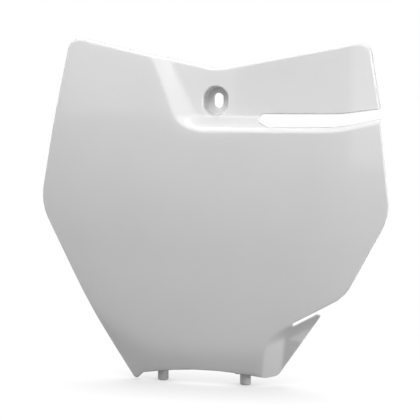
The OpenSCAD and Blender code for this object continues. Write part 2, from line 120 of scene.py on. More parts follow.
def unit(v: np.ndarray) -> np.ndarray:
    """A vector scaled to length one."""
    return v / np.linalg.norm(v)


def cross(a: np.ndarray, b: np.ndarray) -> float:
    """The signed area of two vectors."""
    return float(a[0] * b[1] - a[1] * b[0])


def slope(degrees: float) -> float:
    """The rise over a length of one at an angle from level."""
    return math.tan(math.radians(degrees))


def rounding(angles: Iterable[float]) -> list[tuple[float, float]]:
    """How far the points of a unit round lie from its two faces, at angles in degrees."""
    return [(1 - math.cos(q), 1 - math.sin(q)) for q in map(math.radians, angles)]


def mix(a: Amount, b: Amount, t: float) -> Amount:
    """The value a share t of the way from a to b."""
    return a + (b - a) * t


def meet(p: Sequence[float], d: np.ndarray, q: Sequence[float], e: np.ndarray) -> np.ndarray:
    """Where two lines cross.

    Args:
        p: A point on the first line.
        d: The first line's direction.
        q: A point on the second line.
        e: The second line's direction.

    Returns:
        The crossing point.
    """
    p, q = np.asarray(p, float), np.asarray(q, float)
    return p + d * cross(q - p, e) / cross(d, e)


def soft(t: float, width: float) -> float:
    """A bend that starts softly: flat below zero, slope one above."""
    return (t + math.sqrt(t * t + width * width)) / 2


@dataclass(frozen=True)
class Wedge:
    """A recess in the board's plane between two sloping walls, a and b."""

    corner: tuple[float, float]
    side_a: float
    side_b: float
    run_a: float
    run_b: float
    rounding: float
    depth: float
    softness: float
    taper: float = 0.0

    def along(self) -> np.ndarray:
        """The direction of side a."""
        return heading(self.side_a)

    def normal_a(self) -> np.ndarray:
        """The inward direction across side a."""
        a, b = heading(self.side_a), heading(self.side_b)
        return left_of(a) * np.sign(cross(a, b))

    def normal_b(self) -> np.ndarray:
        """The inward direction across side b."""
        a, b = heading(self.side_a), heading(self.side_b)
        return left_of(b) * np.sign(cross(b, a))

    def shift(self, run: float, wall: float) -> float:
        """How far out a fold of the back lies, which keeps the wall's thickness."""
        return wall * math.tan(math.atan(self.depth / run) / 2)

    def place(self, a: float, b: float, sheet: Sheet, wall: float) -> np.ndarray:
        """Finds the point at given distances from both sides.

        Args:
            a: Distance across side a, in wall widths.
            b: Distance across side b, in wall widths.
            sheet: Which face of the wall.
            wall: The wall's thickness.

        Returns:
            The point in the board's plane.
        """
        m = self.normal_a() + a * self.taper * self.along()
        n = self.normal_b()
        da = a * self.run_a - sheet.value * self.shift(self.run_a, wall)
        db = b * self.run_b - sheet.value * self.shift(self.run_b, wall)
        return np.array(self.corner) + (da * left_of(n) - db * left_of(m)) / cross(n, m)

    def line(self, t: float, sheet: Sheet, wall: float, reach: tuple[float, float],
             step: float) -> list[np.ndarray]:
        """Runs along the rounded line that lies t across the wall.

        Args:
            t: Distance across the wall, in wall widths.
            sheet: Which face of the wall.
            wall: The wall's thickness.
            reach: How far the line runs along side a and along side b.
            step: Distance between points.

        Returns:
            Points from the far end of side a, round the corner, to the far end of side b.
        """
        bend = self.rounding - t
        straight_a = [
            self.place(t, self.rounding, sheet, wall) + self.along() * s
            for s in np.arange(reach[0], step / 2, -step)
        ]
        turn_steps = 2 + int(abs(bend) * self.run_a * 2 / step)
        turn = [
            self.place(self.rounding - bend * math.cos(q), self.rounding - bend * math.sin(q),
                       sheet, wall)
            for q in np.linspace(0, math.pi / 2, turn_steps)
        ]
        straight_b = [turn[-1] + heading(self.side_b) * s for s in np.arange(step, reach[1], step)]
        return straight_a + turn + straight_b


@dataclass(frozen=True)
class Corner:
    """A rounded corner of the outline, with the heaviness of the edge that follows it."""

    place: np.ndarray
    radius: float
    start: float = 0.0
    end: float = 0.0


@dataclass(frozen=True)
class RimRow:
    """One row round the edge: insets, and depths counted from the face or from the back."""

    plain_inset: float
    rolled_inset: float
    plain_from: Sheet
    plain_offset: float
    rolled_from: Sheet
    rolled_offset: float


@dataclass
class BoardForm:
    """The board's sizes, and the outline and surface that follow from them."""

    wide_half: float = 124.2
    wide_drop: float = 75.0
    wide_r: float = 36.0
    ear_half: float = 105.2
    ear_rise: float = 44.0
    ear_r: float = 9.5
    notch_rise: float = 22.2
    notch_r: float = 32.0
    foot_half: float = 51.0
    foot_drop: float = 197.0
    arch_drop: float = 191.0
    arch_r: float = 236.0
    arch_round: float = 0.9
    side_bulge: float = 1.4
    wall: float = 2.6
    bow_r: float = 900.0
    rise_r: float = 4500.0
    crease_x: float = 86.0
    crease_turn: float = 4.5
    lean: float = 6.0
    tuck_drop: float = 174.0
    tuck_turn: float = 18.0
    tuck_half: float = 40.0
    foot_tuck: float = 0.55
    roll_r: float = 2.2
    roll_depth: float = 6.0
    edge_r: float = 0.9
    slot_x: float = 31.2
    slot_h: float = 8.5
    ramp_run: float = 7.0
    ramp_rise: float = 3.0
    ramp_r: float = 1.2
    lip_w: float = 2.3
    kick_x: float = 87.0
    kick_rise: float = 5.8
    wing_rise: float = 3.4
    fin_flare: float = 3.0
    slit_w: float = 2.0
    slit_x: float = 61.0
    slit_turn: float = 1.0
    fin_foot_x: float = 50.0
    jaw_angle: float = 243.0
    fin_tip_x: float = 82.6
    fin_tip_r: float = 1.6
    cup_depth: float = 12.0
    foot_r: float = 2.6
    fin_foot_r: float = 5.0
    corner_r: float = 0.8
    jaw_r: float = 26.0
    long_r: float = 800.0
    kick_r: float = 80.0
    foot_step: float = 6.0
    fin_step: float = 1.6
    side_out: float = 9.0
    end_round: float = 0.48
    crease_soft: float = 10.0
    tuck_soft: float = 8.0
    kick_soft: float = 5.0
    root_fillet: float = 1.2
    rear_bevel: float = 0.4
    hidden_step: float = 0.1
    edge_step: float = 1.5
    screw_recess: Wedge = field(default=Wedge(
        (-22.0, -20.0), 113.5, 1.1, 12.2, 8.4, 1.35, 13.0, 0.1, 0.08))
    fin_recess: Wedge = field(default=Wedge(
        (43.5, -160.5), -98.0, 28.0, 12.0, 7.0, 1.0, 7.0, 0.07))

    def kick_slope(self) -> float:
        """The slope at which the board's top edge climbs towards the side."""
        return self.kick_rise / (self.ear_half + self.side_out - self.kick_x)

    def on_level(self, x: float, t: float) -> np.ndarray:
        """Finds a point on a line along the recess's lower wall.

        Args:
            x: The point's sideways place.
            t: How far across the wall the line lies, in wall widths.

        Returns:
            The point in the board's plane.
        """
        wedge = self.screw_recess
        climb = slope(wedge.side_b)
        return np.array([x, wedge.corner[1] + (x - wedge.corner[0]) * climb + t * wedge.run_b])

    def side_at(self, z: float) -> np.ndarray:
        """The point of the right side at height z."""
        spread = (self.wide_half - self.ear_half) / (self.wide_drop + self.ear_rise)
        return np.array([self.ear_half + spread * (self.ear_rise - z) + self.side_bulge, z])

    def board_side(self, t: float) -> np.ndarray:
        """Finds where a line along the recess's lower wall meets the right side.

        Args:
            t: How far across the wall the line lies, in wall widths.

        Returns:
            The point in the board's plane.
        """
        x = self.ear_half + self.side_out
        lift = self.kick_slope() * soft(x - self.kick_x, self.kick_soft)
        return self.side_at(self.on_level(x, t)[1] + lift)

    def corners(self) -> list[Corner]:
        """Works out the outline from the sizes.

        Returns:
            Its corners, anticlockwise from the top of the left ear.
        """
        top_left = np.array([-self.ear_half, self.ear_rise])
        top_right = np.array([self.ear_half, self.ear_rise])
        wide_left = np.array([-self.wide_half, -self.wide_drop])
        wide_right = np.array([self.wide_half, -self.wide_drop])
        foot_left = np.array([-self.foot_half, -self.foot_drop])
        arch_half = self.foot_half - self.foot_step
        arch_top = -self.arch_drop + arch_half**2 / self.arch_r
        fin, run, upward = self.fin_recess, self.screw_recess.run_b, heading(90)
        slit_end = meet(fin.corner, heading(fin.side_b), (self.slit_x, 0), upward)
        slit_half = left_of(heading(fin.side_b)) * self.slit_w / 2
        slit_line = heading(fin.side_b + self.slit_turn)
        fin_tip = meet(slit_end - slit_half, slit_line, (self.fin_tip_x, 0), upward)
        jaw = meet(slit_end + slit_half, slit_line, wide_right, heading(self.jaw_angle))
        lip = self.lip_w / run
        wing_line = (self.lip_w + self.slot_h) / run
        slot_low = self.on_level(self.slot_x, lip)
        slot_high = slot_low + [0, self.slot_h]
        wing_z = self.on_level(self.ear_half + self.side_out, wing_line)[1] + self.wing_rise
        left_mid = np.array([-self.side_at(self.screw_recess.corner[1])[0],
                             self.screw_recess.corner[1]])
        slot_r = self.slot_h * self.end_round
        slit_r = self.slit_w * self.end_round
        return [
            Corner(top_left, self.ear_r, ROLLED, HALF_ROLLED),
            Corner(left_mid, self.long_r, HALF_ROLLED),
            Corner(wide_left, self.wide_r),
            Corner(mix(wide_left, foot_left, 0.5) - [self.side_bulge, 0], self.long_r),
            Corner(foot_left, self.foot_r),
            Corner(np.array([-arch_half, -self.arch_drop]), self.foot_r),
            Corner(np.array([0, arch_top]), self.arch_r * self.arch_round),
            Corner(np.array([arch_half - self.foot_r, -self.arch_drop + self.fin_step / 2]),
                   self.ear_r),
            Corner(np.array([self.fin_foot_x, -self.arch_drop + self.fin_step]),
                   self.fin_foot_r),
            Corner(fin_tip, self.fin_tip_r),
            Corner(slit_end - slit_half, slit_r),
            Corner(slit_end + slit_half, slit_r),
            Corner(jaw, self.jaw_r),
            Corner(wide_right, self.wide_r),
            Corner(self.board_side(-self.screw_recess.softness), 0),
            Corner(self.board_side(lip), self.corner_r),
            Corner(self.on_level(self.kick_x, lip), self.kick_r),
            Corner(slot_low + [self.ramp_run, 0], self.ramp_r),
            Corner(slot_low + [0, self.ramp_rise], self.ramp_r),
            Corner(slot_high, slot_r),
            Corner(self.on_level(self.kick_x, wing_line), self.kick_r),
            Corner(self.side_at(wing_z), self.corner_r, ROLLED, ROLLED),
            Corner(top_right, self.ear_r, ROLLED, ROLLED),
            Corner(np.array([0, self.notch_rise]), self.notch_r, ROLLED, ROLLED),
        ]

    def rim_rows(self) -> list[RimRow]:
        """Works out the edge's section.

        Returns:
            Rows of points from the face, round the edge, to the back.
        """
        face, back = Sheet.FACE, Sheet.BACK
        bevel, fillet, wall, depth = self.rear_bevel, self.root_fillet, self.wall, self.roll_depth
        coarse = rounding(range(0, 91, 30))
        rows = [RimRow(self.edge_r * fall, self.roll_r * fall,
                       face, self.edge_r * rise, face, self.roll_r * rise)
                for rise, fall in rounding(range(0, 91, 15))]
        rows += [RimRow(bevel * rise, bevel * rise, back, -bevel * fall, face, depth - bevel * fall)
                 for rise, fall in coarse]
        rows += [RimRow(mix(bevel, self.edge_r, k / (len(coarse) + 1)), wall - bevel * fall,
                        back, 0.0, face, depth - bevel * rise)
                 for k, (rise, fall) in enumerate(coarse, 1)]
        rows += [RimRow(self.edge_r + self.hidden_step * k, wall + fillet * rise,
                        back, 0.0, back, fillet * fall)
                 for k, (rise, fall) in enumerate(coarse, 1)]
        return rows

    def floor_y(self, x: float, z: float) -> float:
        """Depth of the recess's floor, near the cup."""
        return (-self.cup_depth + slope(self.lean) * z
                + x * x / (2 * self.bow_r) + z * z / (2 * self.rise_r))

    def skin_y(self, x: float, z: float) -> float:
        """Works out the depth of the plain face, away from the folds.

        Args:
            x: The point's sideways place.
            z: Its height.

        Returns:
            The depth.
        """
        edge = -self.tuck_drop + self.foot_tuck * soft(abs(x) - self.tuck_half, self.tuck_soft)
        return (self.floor_y(x, z) - self.screw_recess.depth
                + slope(self.crease_turn) * soft(abs(x) - self.crease_x, self.crease_soft)
                + slope(self.tuck_turn) * soft(edge - z, self.tuck_soft))


@dataclass
class Plan:
    """Draws the board's plan: two filled sheets and the rim that joins them."""

    form: BoardForm
    grid_step: float = 2.0
    fin_step: float = 1.2
    fold_step: float = 1.5
    clearance: float = 0.75
    arc_step: float = 7.0
    least_r: float = 0.2
    row_share: float = 0.87
    fold_bands: tuple[tuple[float, float, float], ...] = (
        (-0.36, 0.37, 0.06), (0.46, 0.6, 0.08), (0.64, 1.4, 0.06))
    fold_reach: tuple[float, float] = (75.0, 160.0)
    fin_low_x: float = 40.0
    fin_high_x: float = 90.0
    fin_high_z: float = -138.0
    block: int = 400
    points: list[tuple[float, float]] = field(default_factory=list)
    shares: list[float] = field(default_factory=list)
    offsets: list[float] = field(default_factory=list)
    faces: list[tuple[int, ...]] = field(default_factory=list)

    def row_line(self, row: RimRow) -> tuple[np.ndarray, np.ndarray]:
        """Runs once round the outline at one row's inset.

        Args:
            row: The row of the edge's section.

        Returns:
            The points, and the heaviness of the edge at each.
        """
        base = self.form.corners()
        moved = self.inset(base, row)
        places: list[np.ndarray] = []
        weights: list[float] = []
        arcs = [self.arc(base, moved, i) for i in range(len(base))]
        for i, c in enumerate(base):
            before = base[i - 1]
            arc = arcs[i]
            for k, p in enumerate(arc):
                places.append(p)
                weights.append(mix(before.end, c.start, k / max(len(arc) - 1, 1)))
            following = arcs[(i + 1) % len(base)][0]
            span = np.linalg.norm(base[(i + 1) % len(base)].place - c.place)
            steps = max(2, math.ceil(span / self.form.edge_step))
            for k in range(1, steps):
                places.append(mix(arc[-1], following, k / steps))
                weights.append(mix(c.start, c.end, k / steps))
        return np.array(places), np.array(weights)

    def inset(self, corners: list[Corner], row: RimRow) -> list[Corner]:
        """Moves the corners inwards.

        Args:
            corners: The outline's corners.
            row: The row of the edge's section, which says how far.

        Returns:
            The moved corners.
        """
        moved = []
        for i, c in enumerate(corners):
            before, after = corners[i - 1], corners[(i + 1) % len(corners)]
            u, v = unit(c.place - before.place), unit(after.place - c.place)
            dm = mix(row.plain_inset, row.rolled_inset, before.end)
            dn = mix(row.plain_inset, row.rolled_inset, c.start)
            m, n = left_of(u), left_of(v)
            step = (m * dm + n * dn) / (1 + m @ n)
            convex = cross(u, v) > 0
            radius = c.radius - (dm + dn) / 2 if convex else c.radius + (dm + dn) / 2
            radius = 0.0 if c.radius == 0 else max(radius, self.least_r)
            moved.append(Corner(c.place + step, radius, c.start, c.end))
        return moved

    def arc(self, base: list[Corner], moved: list[Corner], i: int) -> list[np.ndarray]:
        """Finds the points round one corner, as many on every row.

        Args:
            base: The outline's corners.
            moved: The same corners, moved inwards.
            i: Which corner.

        Returns:
            The points round the moved corner.
        """
        turns = []
        for line in (base, moved):
            u = unit(line[i].place - line[i - 1].place)
            v = unit(line[(i + 1) % len(line)].place - line[i].place)
            turns.append((math.atan2(cross(u, v), u @ v), u))
        steps = 2 + int(abs(math.degrees(turns[0][0])) / self.arc_step)
        turn, u = turns[1]
        c = moved[i]
        if base[i].radius == 0:
            return [c.place]
        side = np.sign(turn)
        start = c.place - u * c.radius * math.tan(abs(turn) / 2)
        centre = start + left_of(u) * c.radius * side
        spoke = -left_of(u) * side * c.radius
        arc = []
        for k in range(steps + 1):
            q = turn * k / steps
            arc.append(centre + spoke * math.cos(q) + left_of(spoke) * math.sin(q))
        return arc

    def inner_points(self, edge: np.ndarray, sheet: Sheet) -> np.ndarray:
        """Scatters the points inside a sheet, in lines along its folds.

        Args:
            edge: The sheet's boundary.
            sheet: Which face of the wall.

        Returns:
            The points, all clear of the boundary.
        """
        form = self.form
        wedge = form.screw_recess
        lines = []
        for t in np.concatenate([np.arange(*band) for band in self.fold_bands]):
            lines += wedge.line(t, sheet, form.wall, self.fold_reach, self.fold_step)
        folds = np.array(lines)
        lift = form.kick_slope() * np.array(
            [soft(x - form.kick_x, form.kick_soft) for x in folds[:, 0]])
        folds[:, 1] += lift
        low, high = edge.min(0), edge.max(0)
        grid = self.lattice(low, high, self.grid_step)
        fin_low = np.array([self.fin_low_x, low[1]])
        fin_high = np.array([self.fin_high_x, self.fin_high_z])
        fine = self.lattice(fin_low, fin_high, self.fin_step)
        in_fin = np.all((grid > fin_low) & (grid < fin_high), axis=1)
        grid = np.concatenate([grid[~in_fin], fine])
        near_fold = self.nearest(grid, folds) < self.fold_step
        points = np.concatenate([folds, grid[~near_fold]])
        points = points[self.inside(points, edge)]
        finer = [mix(edge, np.roll(edge, -1, axis=0), share) for share in (0, 0.25, 0.5, 0.75)]
        return points[self.nearest(points, np.concatenate(finer)) > self.clearance]

    def lattice(self, low: np.ndarray, high: np.ndarray, step: float) -> np.ndarray:
        """Spreads a staggered lattice of points over a rectangle.

        Args:
            low: The rectangle's lower left corner.
            high: Its upper right corner.
            step: Distance between points.

        Returns:
            The points.
        """
        rows = []
        for k, z in enumerate(np.arange(low[1], high[1], step * self.row_share)):
            xs = np.arange(low[0] + (k % 2) * step / 2, high[0], step)
            rows.append(np.stack([xs, np.full_like(xs, z)], axis=1))
        return np.concatenate(rows)

    def nearest(self, points: np.ndarray, others: np.ndarray) -> np.ndarray:
        """Measures how near other points are, a block of them at a time.

        Args:
            points: The points to measure from.
            others: The points to measure to.

        Returns:
            The distance from each point to the nearest of the others.
        """
        best = np.full(len(points), math.inf)
        for block in np.array_split(others, max(1, len(others) // self.block)):
            gap = np.linalg.norm(points[:, None, :] - block[None, :, :], axis=2).min(1)
            best = np.minimum(best, gap)
        return best

    @staticmethod
    def inside(points: np.ndarray, edge: np.ndarray) -> np.ndarray:
        """Finds which points lie inside a closed line.

        Args:
            points: The points.
            edge: The line's points.

        Returns:
            True for each point inside.
        """
        hits = np.zeros(len(points), bool)
        for a, b in zip(edge, np.roll(edge, -1, axis=0)):
            spans = (a[1] > points[:, 1]) != (b[1] > points[:, 1])
            x = a[0] + (points[:, 1] - a[1]) * (b[0] - a[0]) / ((b[1] - a[1]) or 1e-12)
            hits ^= spans & (points[:, 0] < x)
        return hits

    def add_sheet(self, first: int, edge: np.ndarray, sheet: Sheet) -> None:
        """Fills one face of the wall with triangles, leaving out those in the edge's hollows.

        Args:
            first: Index of the boundary's first point.
            edge: The boundary's points.
            sheet: Which face of the wall.
        """
        inner = self.inner_points(edge, sheet)
        count = len(edge)
        given = [Vector(p) for p in np.concatenate([edge, inner])]
        ring = [(i, (i + 1) % count) for i in range(count)]
        made = delaunay_2d_cdt(given, ring, [list(range(count))], 1, 1e-6, True)
        places, triangles, origins = made[0], made[2], made[3]
        index = []
        on_edge = {}
        for k, (place, origin) in enumerate(zip(places, origins)):
            if origin and origin[0] < count:
                on_edge[k] = origin[0]
                index.append(first + origin[0])
                continue
            index.append(len(self.points))
            self.points.append((place[0], place[1]))
            self.shares.append(sheet.value)
            self.offsets.append(0.0)
        for t in triangles:
            if all(k in on_edge for k in t):
                a, b, c = (np.array(places[k]) for k in sorted(t, key=on_edge.get))
                if cross(b - a, c - a) <= 0:
                    continue
            self.faces.append(tuple(index[k] for k in t))

    def build(self) -> bpy.types.Object:
        """Makes the plan as a mesh, with each point's rule for its depth as attributes.

        Returns:
            The object, its mesh lying flat in the XZ plane in millimetres.
        """
        rows = self.form.rim_rows()
        lines = [self.row_line(row) for row in rows]
        count = len(lines[0][0])
        for row, (places, weights) in zip(rows, lines):
            for p, w in zip(places, weights):
                self.points.append((p[0], p[1]))
                self.shares.append(mix(row.plain_from.value, row.rolled_from.value, w))
                self.offsets.append(mix(row.plain_offset, row.rolled_offset, w))
        for r in range(len(rows) - 1):
            for s in range(count):
                a, b = r * count + s, r * count + (s + 1) % count
                self.faces.append((a, b, b + count, a + count))
        self.add_sheet(0, lines[0][0], Sheet.FACE)
        self.add_sheet((len(rows) - 1) * count, lines[-1][0], Sheet.BACK)
        mesh = bpy.data.meshes.new("plan")
        mesh.from_pydata([(x, 0.0, z) for x, z in self.points], [], self.faces)
        for name, values in ((SHARE, self.shares), (OFFSET, self.offsets)):
            layer = mesh.attributes.new(name, "FLOAT", "POINT")
            layer.data.foreach_set("value", values)
        LOG.info("plan: %d points, %d faces", len(self.points), len(self.faces))
        return add_object("plan", mesh)


# Node trees and objects


def add_object(name: str, data: bpy.types.ID) -> bpy.types.Object:
    """Puts an object into the scene.

    Args:
        name: Its name.
        data: Its mesh, lamp or camera.

    Returns:
        The object.
    """
    made = bpy.data.objects.new(name, data)
    bpy.context.scene.collection.objects.link(made)
    return made


def empty_tree(owner: bpy.types.Material | bpy.types.World) -> bpy.types.NodeTree:
    """Gives a material or world a node tree with nothing in it.

    Args:
        owner: The material or world.

    Returns:
        The tree.
    """
    owner.use_nodes = True
    owner.node_tree.nodes.clear()
    return owner.node_tree


def add_node(tree: bpy.types.NodeTree, kind: str, inputs: dict | Sequence = (),
             **settings) -> bpy.types.Node:
    """Adds a node with its settings, values and links.

    Args:
        tree: The tree that takes the node.
        kind: The node's type name.
        inputs: Values or sockets by input name or place.
        **settings: Properties of the node.

    Returns:
        The node.
    """
    node = tree.nodes.new(kind)
    for name, value in settings.items():
        setattr(node, name, value)
    pairs = inputs.items() if isinstance(inputs, dict) else enumerate(inputs)
    for key, value in pairs:
        if isinstance(value, bpy.types.NodeSocket):
            tree.links.new(value, node.inputs[key])
        elif value is not None:
            node.inputs[key].default_value = value
    return node


@dataclass(frozen=True)
class Term:
    """A number in a Geometry Nodes formula, which ordinary arithmetic extends."""

    tree: bpy.types.NodeTree
    socket: bpy.types.NodeSocket

    def join(self, operation: str, *others: Term | float) -> Term:
        """Puts a math node on this term and others.

        Args:
            operation: What the node does.
            *others: The other terms or plain numbers.

        Returns:
            Its result.
        """
        values = [self.socket] + [o.socket if isinstance(o, Term) else o for o in others]
        node = add_node(self.tree, "ShaderNodeMath", values, operation=operation)
        return Term(self.tree, node.outputs[0])

    def __add__(self, other: Term | float) -> Term:
        """The sum."""
        return self.join("ADD", other)

    def __sub__(self, other: Term | float) -> Term:
        """The difference."""
        return self.join("SUBTRACT", other)

    def __mul__(self, other: Term | float) -> Term:
        """The product."""
        return self.join("MULTIPLY", other)

    def __truediv__(self, other: Term | float) -> Term:
        """The quotient."""
        return self.join("DIVIDE", other)

    def soft(self, width: Term | float) -> Term:
        """Flat below zero, slope one above, with a soft start."""
        spread = width * width
        return (self + (self * self + spread).join("SQRT")) * 0.5

    def fold(self, softness: float) -> Term:
        """Rises from 0 to 1 between two soft folds."""
        return self.soft(softness) - (self - 1.0).soft(softness)


@dataclass
class PressTree:
    """A Geometry Nodes tree that presses the flat plan into the board's depth."""

    form: BoardForm
    tree: bpy.types.NodeTree | None = None
    inputs: dict[str, float] = field(default_factory=dict)
    start: bpy.types.Node | None = None

    def size(self, name: str, value: float) -> Term:
        """Adds a named size to the tree's inputs.

        Args:
            name: The input's name.
            value: Its value.

        Returns:
            The input as a term.
        """
        socket = self.tree.interface.new_socket(name, in_out="INPUT", socket_type="NodeSocketFloat")
        socket.default_value = value
        self.inputs[socket.identifier] = value
        return Term(self.tree, self.start.outputs[name])

    def wedge_share(self, wedge: Wedge, x: Term, z: Term, back: float, wall: Term,
                    lift: Term | None) -> Term:
        """How far across a wedge's wall a point lies: 0 at the face, 1 at the floor.

        Args:
            wedge: The recess.
            x: The point's sideways place.
            z: Its height.
            back: 0 for the face, 1 for the back.
            wall: The wall's thickness.
            lift: How much higher side b lies there, if it does.

        Returns:
            The share as a term.
        """
        px, pz = x - wedge.corner[0], z - wedge.corner[1]
        ma, mb, along = wedge.normal_a(), wedge.normal_b(), wedge.along()
        shift_a = wall * (back * wedge.shift(wedge.run_a, 1.0))
        shift_b = wall * (back * wedge.shift(wedge.run_b, 1.0))
        run = (px * along[0] + pz * along[1]) * -wedge.taper + wedge.run_a
        a = (px * ma[0] + pz * ma[1] + shift_a) / run
        b = px * mb[0] + pz * mb[1] + shift_b
        b = (b - lift if lift else b) / wedge.run_b
        k = wedge.rounding
        short_a = (a * -1.0 + k).join("MAXIMUM", 0.0)
        short_b = (b * -1.0 + k).join("MAXIMUM", 0.0)
        corner = (short_a * short_a + short_b * short_b).join("SQRT")
        beyond = (a.join("MINIMUM", b) - k).join("MAXIMUM", 0.0)
        return beyond - corner + k

    def build(self, plan: bpy.types.Object, finish: bpy.types.Material) -> None:
        """Makes the tree and puts it on the plan.

        Args:
            plan: The flat plan.
            finish: The material that the result takes.
        """
        form = self.form
        self.tree = tree = bpy.data.node_groups.new("press_board", "GeometryNodeTree")
        tree.interface.new_socket("Plan", in_out="INPUT", socket_type="NodeSocketGeometry")
        tree.interface.new_socket("Board", in_out="OUTPUT", socket_type="NodeSocketGeometry")
        self.start = tree.nodes.new("NodeGroupInput")
        wall, floor, bow, rise, lean, crease_x, crease, tuck_drop, tuck, recess, fin, flare = (
            self.size(name, value) for name, value in {
                "Wall": form.wall,
                "Depth of the plain face": -form.cup_depth - form.screw_recess.depth,
                "Bow radius": form.bow_r,
                "Rise radius": form.rise_r,
                "Lean slope": slope(form.lean),
                "Crease place": form.crease_x,
                "Crease slope": slope(form.crease_turn),
                "Tuck drop": form.tuck_drop,
                "Tuck slope": slope(form.tuck_turn),
                "Recess depth": form.screw_recess.depth,
                "Fin depth": form.fin_recess.depth,
                "Fin flare": form.fin_flare,
            }.items())

        place = add_node(tree, "GeometryNodeInputPosition")
        parts = add_node(tree, "ShaderNodeSeparateXYZ", [place.outputs[0]])
        x, z = Term(tree, parts.outputs["X"]), Term(tree, parts.outputs["Z"])
        away = x.join("ABSOLUTE")
        edge = (away - form.tuck_half).soft(form.tuck_soft) * form.foot_tuck - tuck_drop
        skin = (floor + x * x / (bow * 2.0) + z * z / (rise * 2.0) + lean * z
                + crease * (away - crease_x).soft(form.crease_soft)
                + tuck * (edge - z).soft(form.tuck_soft))
        kick = (x - form.kick_x).soft(form.kick_soft) * form.kick_slope()
        depths = []
        for sheet in Sheet:
            upper = self.wedge_share(form.screw_recess, x, z, sheet.value, wall, kick)
            lower = self.wedge_share(form.fin_recess, x, z, sheet.value, wall, None)
            soft_fin = form.fin_recess.softness
            depths.append(skin + wall * sheet.value
                          + recess * upper.fold(form.screw_recess.softness)
                          + fin * lower.fold(soft_fin)
                          - flare * (lower - 1.0).soft(soft_fin))
        share, offset = (
            Term(tree, add_node(tree, "GeometryNodeInputNamedAttribute", {"Name": name},
                                data_type="FLOAT").outputs["Attribute"])
            for name in (SHARE, OFFSET))
        y = depths[0] + (depths[1] - depths[0]) * share + offset
        pressed = add_node(tree, "ShaderNodeCombineXYZ", [(x * MM).socket, (y * MM).socket,
                                                          (z * MM).socket])
        moved = add_node(tree, "GeometryNodeSetPosition", {
            "Geometry": self.start.outputs["Plan"], "Position": pressed.outputs[0]})
        real = add_node(tree, "GeometryNodeRealizeInstances", [moved.outputs[0]])
        dressed = add_node(tree, "GeometryNodeSetMaterial", {
            "Geometry": real.outputs[0], "Material": finish})
        add_node(tree, "NodeGroupOutput", [dressed.outputs[0]])

        modifier = plan.modifiers.new("press", "NODES")
        modifier.node_group = tree
        for identifier, value in self.inputs.items():
            modifier[identifier] = value
        LOG.info("press tree: %d nodes", len(tree.nodes))


# Solids


def settled(source: bpy.types.Object, name: str) -> bpy.types.Object:
    """Turns an object with modifiers into a plain mesh and removes the source.

    Args:
        source: The object with its modifiers.
        name: The new object's name.

    Returns:
        The plain object, at the origin.
    """
    graph = bpy.context.evaluated_depsgraph_get()
    mesh = bpy.data.meshes.new_from_object(source.evaluated_get(graph))
    mesh.name = name
    source.modifiers.clear()
    bpy.data.objects.remove(source)
    return add_object(name, mesh)


def cut(base: bpy.types.Object, tool: bpy.types.Object, way: Cut) -> bpy.types.Object:
    """Joins a solid to another or takes it away.

    Args:
        base: The solid that is changed.
        tool: The solid that is joined or taken away, which is then removed.
        way: Which of the two.

    Returns:
        The new solid.
    """
    modifier = base.modifiers.new("cut", "BOOLEAN")
    modifier.object = tool
    modifier.operation = way.value
    modifier.solver = "EXACT"
    bpy.context.view_layer.update()
    result = settled(base, base.data.name)
    bpy.data.objects.remove(tool)
    return result


def solid(name: str, bm: bmesh.types.BMesh) -> bpy.types.Object:
    """Turns a bmesh in millimetres into an object in metres, faces outwards.

    Args:
        name: The object's name.
        bm: The bmesh, which is freed.

    Returns:
        The object.
    """
    bmesh.ops.recalc_face_normals(bm, faces=bm.faces)
    mesh = bpy.data.meshes.new(name)
    bm.to_mesh(mesh)
    bm.free()
    mesh.transform(Matrix.Scale(MM, 4))
    return add_object(name, mesh)


def loft(name: str, rings: Iterable[Sequence[Sequence[float]]]) -> bpy.types.Object:
    """Makes a closed solid through rings of as many points each.

    Args:
        name: The object's name.
        rings: The rings, from one end to the other.

    Returns:
        The solid.
    """
    bm = bmesh.new()
    made = [[bm.verts.new(p) for p in ring] for ring in rings]
    count = len(made[0])
    for low, high in zip(made, made[1:]):
        for i in range(count):
            j = (i + 1) % count
            bm.faces.new((low[i], low[j], high[j], high[i]))
    bm.faces.new(made[0])
    bm.faces.new(made[-1])
    return solid(name, bm)


def slab(name: str, outline: Sequence[tuple[float, float]], low: float, high: float,
         axis: int, bevel: float) -> bpy.types.Object:
    """Makes a flat plate with slightly rounded edges.

    Args:
        name: The object's name.
        outline: The plate's outline, in the two axes other than its own, in X, Y, Z order.
        low: Where it starts along its axis.
        high: Where it ends.
        axis: 0 for X, 2 for Z.
        bevel: Rounding of its edges.

    Returns:
        The solid.
    """
    bm = bmesh.new()

    def corner(p: tuple[float, float], at: float) -> bmesh.types.BMVert:
        """One corner of the plate."""
        return bm.verts.new((at, *p) if axis == 0 else (*p, at))

    rings = [[corner(p, at) for p in outline] for at in (low, high)]
    for i in range(len(outline)):
        j = (i + 1) % len(outline)
        bm.faces.new((rings[0][i], rings[0][j], rings[1][j], rings[1][i]))
    for ring in rings:
        bm.faces.new(ring)
    bmesh.ops.recalc_face_normals(bm, faces=bm.faces)
    bmesh.ops.bevel(bm, geom=list(bm.edges), offset=bevel, segments=2, affect="EDGES",
                    profile=0.5)
    return solid(name, bm)


